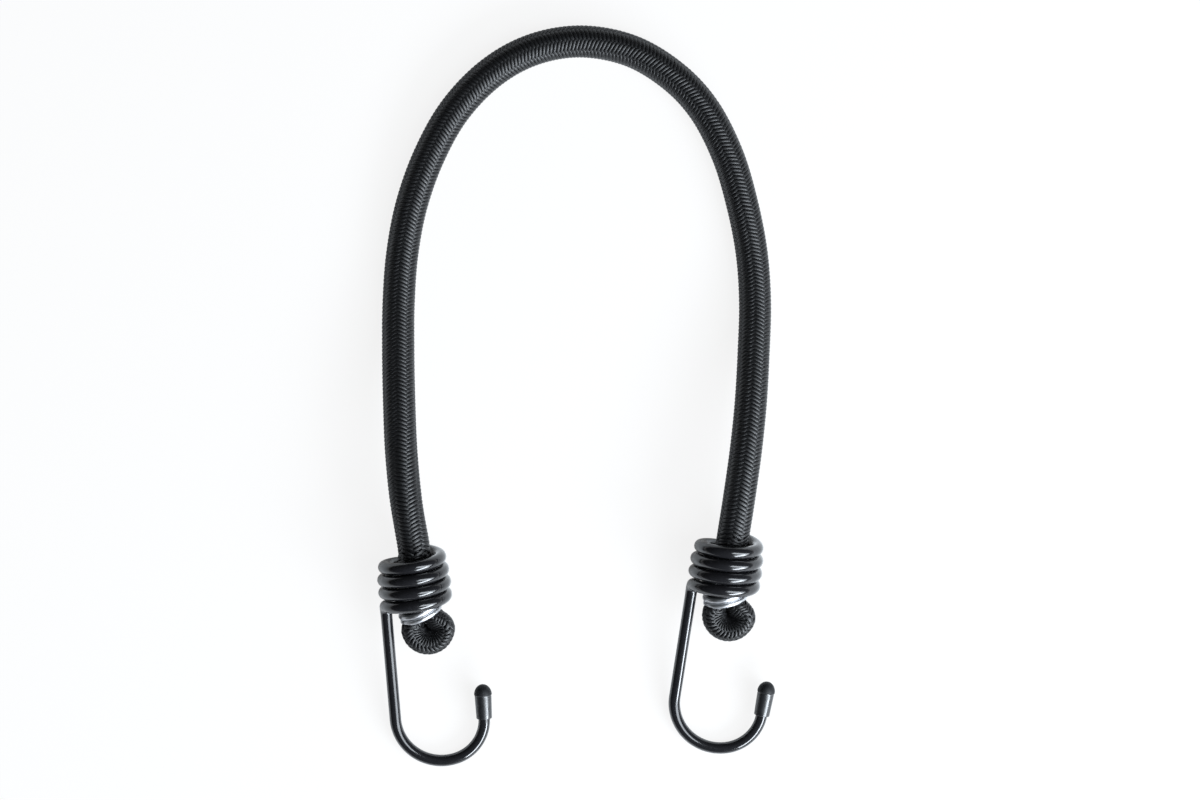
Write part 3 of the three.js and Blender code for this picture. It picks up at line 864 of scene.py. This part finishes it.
def make_world(stage):
    """Even light all round; a white background, which mirrors see near the horizon under a dark ceiling."""
    world = bpy.data.worlds.new("Studio")
    world.use_nodes = True
    bpy.context.scene.world = world
    nodes, links = world.node_tree.nodes, world.node_tree.links
    place = nodes.new("ShaderNodeTexCoord")
    direction = nodes.new("ShaderNodeSeparateXYZ")
    links.new(place.outputs["Generated"], direction.inputs["Vector"])
    dome = nodes.new("ShaderNodeMapRange")
    dome.interpolation_type = "SMOOTHSTEP"
    dome.inputs["From Min"].default_value = DOME_PALE_BELOW
    dome.inputs["From Max"].default_value = DOME_DARK_ABOVE
    dome.inputs["To Min"].default_value = 1
    dome.inputs["To Max"].default_value = DOME_DARK
    links.new(direction.outputs["Z"], dome.inputs["Value"])
    mirrored, clear = ray_kinds(nodes, links)
    light = nodes.new("ShaderNodeMix")
    light.inputs["A"].default_value = stage.ambient
    links.new(mirrored, light.inputs["Factor"])
    links.new(dome.outputs["Result"], light.inputs["B"])
    strength = nodes.new("ShaderNodeMix")
    strength.inputs["B"].default_value = 1
    links.new(clear, strength.inputs["Factor"])
    links.new(light.outputs["Result"], strength.inputs["A"])
    background = nodes["Background"]
    background.inputs["Color"].default_value = (1, 1, 1, 1)
    links.new(strength.outputs["Result"], background.inputs["Strength"])


def make_softbox(name, direction, size, power):
    """A soft light at a distance, aimed at the middle of the view."""
    light = bpy.data.lights.new(name, "AREA")
    light.shape = "RECTANGLE"
    light.size, light.size_y = size
    light.energy = power
    light.color = LIGHT_COLOR
    lamp = bpy.data.objects.new(name, light)
    way = unit(np.array(direction))
    lamp.location = np.array((*VIEW_MIDDLE, 0)) + way * LIGHT_DISTANCE
    lamp.rotation_euler = Vector(way).to_track_quat("Z", "Y").to_euler()
    bpy.context.scene.collection.objects.link(lamp)


def make_camera(stage):
    """A camera straight over the middle of the view."""
    data = bpy.data.cameras.new("Camera")
    data.sensor_width = SENSOR_WIDTH / MILLIMETRE
    data.lens = data.sensor_width * stage.camera_height / stage.view_width
    camera = bpy.data.objects.new("Camera", data)
    camera.location = (*VIEW_MIDDLE, stage.camera_height)
    bpy.context.scene.collection.objects.link(camera)
    bpy.context.scene.camera = camera


class BUNGEE_OT_stage(bpy.types.Operator):
    """Make the floor, the lights and the camera"""

    bl_idname = "bungee.stage"
    bl_label = "Stage"

    def execute(self, context):
        stage = context.scene.bungee_stage
        make_camera(stage)
        make_floor(stage)
        make_world(stage)
        make_softbox("Key", KEY_FROM, KEY_SIZE, stage.key_power)
        make_softbox("Side", SIDE_FROM, SIDE_SIZE, stage.side_power)
        context.scene.view_settings.view_transform = "Standard"
        return {"FINISHED"}


class BUNGEE_OT_free_cord(bpy.types.Operator):
    """Make the braided cord between the coils, as two halves"""

    bl_idname = "bungee.free_cord"
    bl_label = "Free cord"

    def execute(self, context):
        cord = context.scene.bungee_cord
        line = free_cord_line(cord)
        finishes = (braided_yarn(cord), sheath_lining(cord), natural_rubber(cord))
        middle = line.length / 2
        for side, first, last in (("left", 0, middle), ("right", middle, line.length)):
            braid, core = make_cord(f"cord_{side}", line, first, last, cord, finishes)
            outer, inward = (0, 1) if side == "left" else (line.length, -1)
            top = line.at([middle - inward * STRETCH_FROM_TOP])[0][0]
            mouth = line.at([outer + inward * STRETCH_ENDS_AT])[0][0]
            for piece, slot in ((braid, "braided_sheath"), (core, "rubber_strand")):
                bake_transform(piece)
            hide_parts("cord_sheath")
            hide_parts(*(f"cord_strand_{n}" for n in range(1, STRANDS_IN_RING + 2)))
            path = line.at(np.linspace(outer, middle, PATH_POINTS))[0]
        return {"FINISHED"}


class BUNGEE_OT_doubled_ends(bpy.types.Operator):
    """Make the cord's doubled ends inside the coils, with the small loop below each"""

    bl_idname = "bungee.doubled_ends"
    bl_label = "Doubled ends"

    def execute(self, context):
        cord, hook = context.scene.bungee_cord, context.scene.bungee_hook
        cord_length = free_cord_line(cord).length
        finishes = [bpy.data.materials[name] for name in CORD_FINISHES]
        for side, start, heading in (("left", 0, -1), ("right", cord_length, 1)):
            line = doubled_end_line(side, cord, hook)
            braid, core = make_cord(f"{side}_end", line, 0, line.length, cord, finishes, start, heading)
            for piece, slot in ((braid, "braided_sheath"), (core, "rubber_strand")):
                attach(piece, f"{side}_end")
            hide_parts(f"{side}_end_sheath")
            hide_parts(*(f"{side}_end_strand_{n}" for n in range(1, STRANDS_IN_RING + 2)))
        return {"FINISHED"}


class BUNGEE_OT_hooks(bpy.types.Operator):
    """Make the two coiled wire hooks"""

    bl_idname = "bungee.hooks"
    bl_label = "Wire hooks"

    def execute(self, context):
        hook = context.scene.bungee_hook
        coating = gloss_coating(hook)
        points, radius = rounded_ends(hook_line(hook)[0], hook.wire_diameter / 2)
        coiled = np.clip(points[:, 1] / hook.wire_diameter + 1, 0, 1)
        coat = SHANK_COAT + (COIL_COAT - SHANK_COAT) * coiled
        rings = wire_rings(points, radius + coat, WIRE_SIDES)
        for side in SIDES:
            wire = make_on_hook(f"{side}_hook_wire", side, rings, coating)
            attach(wire, f"{side}_hook")
            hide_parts(f"{side}_hook")
        return {"FINISHED"}


class BUNGEE_OT_tip_caps(bpy.types.Operator):
    """Make the vinyl caps on the hooks' tips"""

    bl_idname = "bungee.tip_caps"
    bl_label = "Tip caps"

    def execute(self, context):
        hook = context.scene.bungee_hook
        sleeve = black_vinyl("Satin vinyl sleeve", hook, rough=(0.3, 0.36), gloss=1)
        dome = black_vinyl("Matte vinyl dome", hook, rough=(0.5, 0.6), gloss=0.3)
        end, heading = hook_line(hook)[1:]
        beside = np.array((-heading[1], heading[0], 0))
        angle = np.linspace(0, 2 * math.pi, CAP_SIDES, endpoint=False)
        circle = np.outer(np.cos(angle), beside) + np.outer(np.sin(angle), (0, 0, 1))
        rings = np.array([end + heading * height + radius * circle for radius, height in cap_profile(hook)])
        domed = np.arange(len(rings) - 1) >= len(rings) - 1 - DOME_STEPS
        for side in SIDES:
            cap = make_on_hook(f"{side}_cap", side, rings, sleeve, dome, material=domed)
            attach(cap, f"{side}_hook")
            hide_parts(f"{side}_tip_cap")
        return {"FINISHED"}


class BUNGEE_OT_clips(bpy.types.Operator):
    """Make the wire clips round the doubled ends"""

    bl_idname = "bungee.clips"
    bl_label = "Wire clips"

    def execute(self, context):
        cord, hook = context.scene.bungee_cord, context.scene.bungee_hook
        zinc = bright_zinc(hook)
        points, radius = rounded_ends(clip_line(cord, hook), hook.clip_wire / 2 + CLIP_PLATING)
        rings = wire_rings(points, radius, CLIP_SIDES)
        for side in SIDES:
            clip = make_on_hook(f"{side}_clip_wire", side, rings, zinc)
            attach(clip, f"{side}_end")
            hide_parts(f"{side}_clip")
        return {"FINISHED"}


class BUNGEE_PT_pieces(bpy.types.Panel):
    """Lists the bungee cord's pieces and their sizes."""

    bl_idname = "BUNGEE_PT_pieces"
    bl_label = "Bungee cord"
    bl_space_type = "VIEW_3D"
    bl_region_type = "UI"
    bl_category = "Bungee"

    def draw(self, context):
        for group in SETTINGS:
            settings = getattr(context.scene, group)
            column = self.layout.column()
            for name in settings.__annotations__:
                column.prop(settings, name)
        for operator in OPERATORS:
            self.layout.operator(operator.bl_idname)


SETTINGS = {
    "bungee_cord": BungeeCordSettings,
    "bungee_hook": BungeeHookSettings,
    "bungee_stage": BungeeStageSettings,
}
OPERATORS = (
    BUNGEE_OT_stage,
    BUNGEE_OT_free_cord,
    BUNGEE_OT_doubled_ends,
    BUNGEE_OT_hooks,
    BUNGEE_OT_tip_caps,
    BUNGEE_OT_clips,
)


def register():
    """Adds the settings, operators and panel."""
    for name, settings in SETTINGS.items():
        bpy.utils.register_class(settings)
        setattr(bpy.types.Scene, name, PointerProperty(type=settings))
    for made in (*OPERATORS, BUNGEE_PT_pieces):
        bpy.utils.register_class(made)


def unregister():
    """Takes them away again."""
    for made in (BUNGEE_PT_pieces, *reversed(OPERATORS)):
        bpy.utils.unregister_class(made)
    for name, settings in SETTINGS.items():
        delattr(bpy.types.Scene, name)
        bpy.utils.unregister_class(settings)


def main():
    """Registers the add-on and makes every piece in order."""
    register()
    bpy.ops.bungee.stage()
    bpy.ops.bungee.free_cord()
    bpy.ops.bungee.doubled_ends()
    bpy.ops.bungee.hooks()
    bpy.ops.bungee.tip_caps()
    bpy.ops.bungee.clips()


if __name__ == "__main__":
    main()
